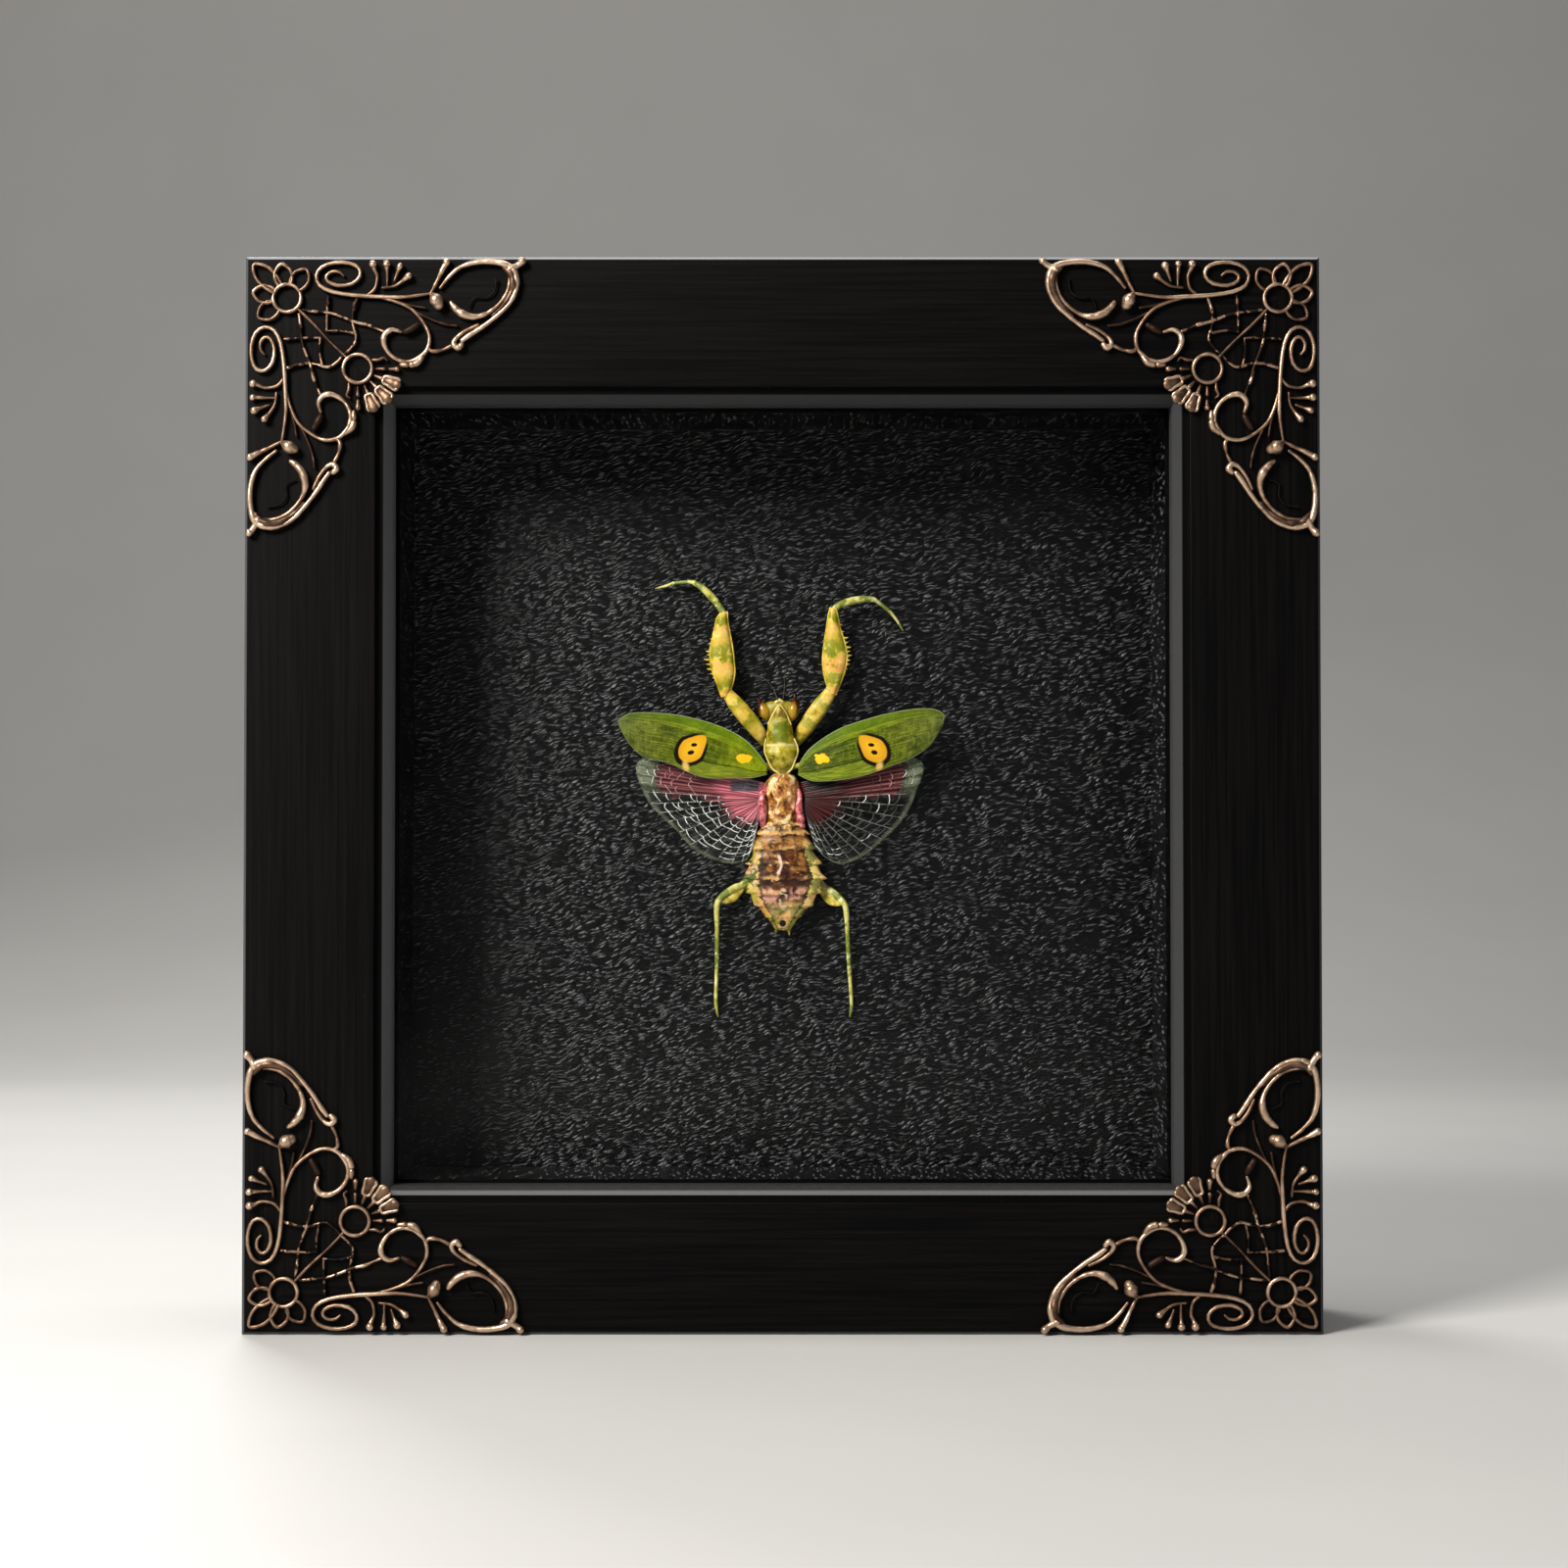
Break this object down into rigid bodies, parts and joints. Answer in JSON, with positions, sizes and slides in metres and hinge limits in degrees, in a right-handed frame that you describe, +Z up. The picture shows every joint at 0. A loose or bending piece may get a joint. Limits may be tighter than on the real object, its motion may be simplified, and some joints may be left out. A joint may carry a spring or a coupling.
{
  "type": "framed flower mantis specimen",
  "caption": "Dried flower mantis with spread wings in a black wooden shadow-box frame with pierced bronze corner ornaments",
  "frame": {"origin": "centre of the bounding box's underside, on the surface that the frame stands on", "axes": "+Z is up, the glazed front faces -Y, the back with its hanger faces +Y, +X is to the right seen from the front"},
  "size_m": [0.15, 0.0358, 0.15],
  "materials": {
    "black_paint": "satin black paint on wood",
    "glass": "clear",
    "embossed_paper": "black, leather-grain embossed",
    "bronze": "antique copper bronze, highlights rubbed",
    "hardboard": "bare hardboard",
    "steel": "zinc plated",
    "green_chitin": "dried chitin, satin",
    "brown_chitin": "dried chitin, satin",
    "leg_chitin": "dried chitin, satin",
    "forewing": "dried leathery wing",
    "hindwing": "dried membranous wing"
  },
  "bodies": {
    "root": {"rail_bottom": "black_paint", "rail_right": "black_paint", "rail_top": "black_paint", "rail_left": "black_paint", "liner_bottom": "embossed_paper", "liner_left": "embossed_paper", "liner_top": "embossed_paper", "liner_right": "embossed_paper", "backing_board": "embossed_paper", "tab_left_lower": "steel", "tab_left_upper": "steel", "tab_right_lower": "steel", "tab_right_upper": "steel", "sawtooth_hanger": "steel", "ornament_top_left": "bronze", "ornament_top_right": "bronze", "ornament_bottom_right": "bronze", "ornament_bottom_left": "bronze", "glass_pane": "glass", "back_panel": "hardboard", "head": "green_chitin", "prothorax": "green_chitin", "thorax": "brown_chitin", "abdomen": "brown_chitin", "forewing_left": "forewing", "forewing_right": "forewing", "hindwing_left": "hindwing", "hindwing_right": "hindwing", "foreleg_left": "leg_chitin", "foreleg_right": "leg_chitin", "hind_leg_left": "leg_chitin", "hind_leg_right": "leg_chitin"}
  },
  "joints": []
}
